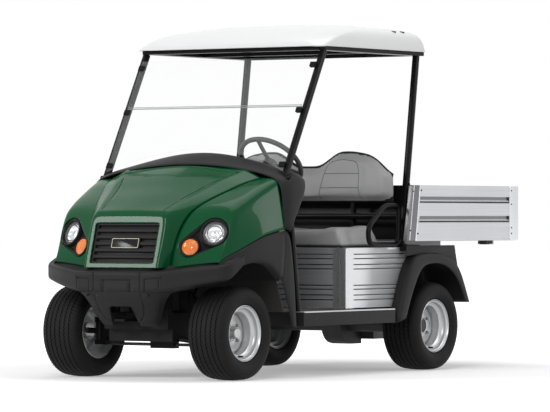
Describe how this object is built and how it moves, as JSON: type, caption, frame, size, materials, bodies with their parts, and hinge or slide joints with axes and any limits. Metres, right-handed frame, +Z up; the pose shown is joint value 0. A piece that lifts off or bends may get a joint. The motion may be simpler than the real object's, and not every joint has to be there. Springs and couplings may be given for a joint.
{
  "type": "turf utility vehicle",
  "caption": "Open-sided turf utility vehicle with a moulded hood, bench seat, fixed canopy, split windshield, tipping cargo bed and drop tailgate, shown parked.",
  "frame": {"origin": "on the floor under the middle of the vehicle's length and width", "axes": "+X to the vehicle's left, -Y forward, +Z up"},
  "size_m": [1.257, 2.786, 1.7739],
  "materials": {
    "tyre": "matt",
    "wheel_steel": "silver paint",
    "frame_black": "satin black",
    "body_green": "gloss moulded-in colour",
    "trim_black": "fine-grained satin",
    "tube_black": "satin powder coat",
    "roof_white": "satin white",
    "clear_sheet": "clear",
    "lamp_clear": "clear lens",
    "lamp_amber": "amber lens",
    "seat_vinyl": "grained vinyl",
    "aluminium": "extruded, brushed"
  },
  "bodies": {
    "chassis": {"bumper_arms": "frame_black", "cross_members": "frame_black", "dashboard": "trim_black", "engine_block": "frame_black", "fender_left": "body_green", "fender_right": "body_green", "floor_pan": "trim_black", "frame_rails": "frame_black", "front_bumper": "trim_black", "front_flares": "trim_black", "front_shocks": "frame_black", "front_struts": "tube_black", "front_suspension": "frame_black", "grille": "trim_black", "head_lamps": "lamp_clear", "hip_restraints": "tube_black", "hood": "body_green", "lamp_bezels": "trim_black", "pedals": "trim_black", "rear_axle": "frame_black", "rear_beam": "frame_black", "rear_fenders": "trim_black", "rear_springs": "frame_black", "rear_struts": "tube_black", "rockers": "aluminium", "roof": "roof_white", "roof_frame": "tube_black", "seat_back": "seat_vinyl", "seat_back_frame": "tube_black", "seat_base": "aluminium", "steering_column": "trim_black", "steering_gear": "frame_black", "tip_uprights": "frame_black", "tow_plates": "frame_black", "turn_lamps": "lamp_amber", "windshield_clips": "trim_black", "windshield_lower": "clear_sheet", "windshield_upper": "clear_sheet"},
    "knuckle_left": {"knuckle_left": "frame_black"},
    "knuckle_right": {"knuckle_right": "frame_black"},
    "rack": {"steering_rack": "frame_black"},
    "steering_wheel": {"steering_wheel": "trim_black"},
    "wheel_front_left": {"tyre_front_left": "tyre", "rim_front_left": "wheel_steel"},
    "wheel_front_right": {"tyre_front_right": "tyre", "rim_front_right": "wheel_steel"},
    "wheel_rear_left": {"tyre_rear_left": "tyre", "rim_rear_left": "wheel_steel"},
    "wheel_rear_right": {"tyre_rear_right": "tyre", "rim_rear_right": "wheel_steel"},
    "bed": {"bed_floor": "aluminium", "bed_walls": "aluminium"},
    "tailgate": {"tailgate": "aluminium"},
    "seat": {"seat_bottom": "seat_vinyl"}
  },
  "joints": [
    {"name": "steer_left", "type": "hinge", "parent": "chassis", "child": "knuckle_left", "pos_m": [0.345, -1.055, 0.2285], "axis": [0, 0, 1], "range_deg": [-32, 32]},
    {"name": "steer_right", "type": "hinge", "parent": "chassis", "child": "knuckle_right", "pos_m": [-0.345, -1.055, 0.2285], "axis": [0, 0, 1], "range_deg": [-32.5, 32.5]},
    {"name": "rack_slide", "type": "slide", "parent": "chassis", "child": "rack", "axis": [1, 0, 0], "range_m": [-0.04, 0.04]},
    {"name": "steering_wheel_turn", "type": "hinge", "parent": "chassis", "child": "steering_wheel", "pos_m": [0.28, -0.465, 1.065], "axis": [0, 0.695, 0.719], "range_deg": [-450, 450]},
    {"name": "spin_front_left", "type": "hinge", "parent": "knuckle_left", "child": "wheel_front_left", "pos_m": [0.438, -1.055, 0.2285], "axis": [1, 0, 0], "continuous": true},
    {"name": "spin_front_right", "type": "hinge", "parent": "knuckle_right", "child": "wheel_front_right", "pos_m": [-0.438, -1.055, 0.2285], "axis": [1, 0, 0], "continuous": true},
    {"name": "spin_rear_left", "type": "hinge", "parent": "chassis", "child": "wheel_rear_left", "pos_m": [0.489, 0.609, 0.2285], "axis": [1, 0, 0], "continuous": true},
    {"name": "spin_rear_right", "type": "hinge", "parent": "chassis", "child": "wheel_rear_right", "pos_m": [-0.489, 0.609, 0.2285], "axis": [1, 0, 0], "continuous": true},
    {"name": "bed_tilt", "type": "hinge", "parent": "chassis", "child": "bed", "pos_m": [0, 1.12, 0.6], "axis": [-1, 0, 0], "range_deg": [0, 45]},
    {"name": "tailgate_drop", "type": "hinge", "parent": "bed", "child": "tailgate", "pos_m": [0, 1.3845, 0.652], "axis": [-1, 0, 0], "range_deg": [0, 90]},
    {"name": "seat_lift", "type": "hinge", "parent": "chassis", "child": "seat", "pos_m": [0, 0.248, 0.646], "axis": [-1, 0, 0], "range_deg": [0, 35]}
  ],
  "couplings": [
    {"joint": "steer_right", "follows": "steer_left", "ratio": 1},
    {"joint": "rack_slide", "follows": "steer_left", "m_per_rad": -0.0665},
    {"joint": "steering_wheel_turn", "follows": "steer_left", "ratio": 14}
  ]
}
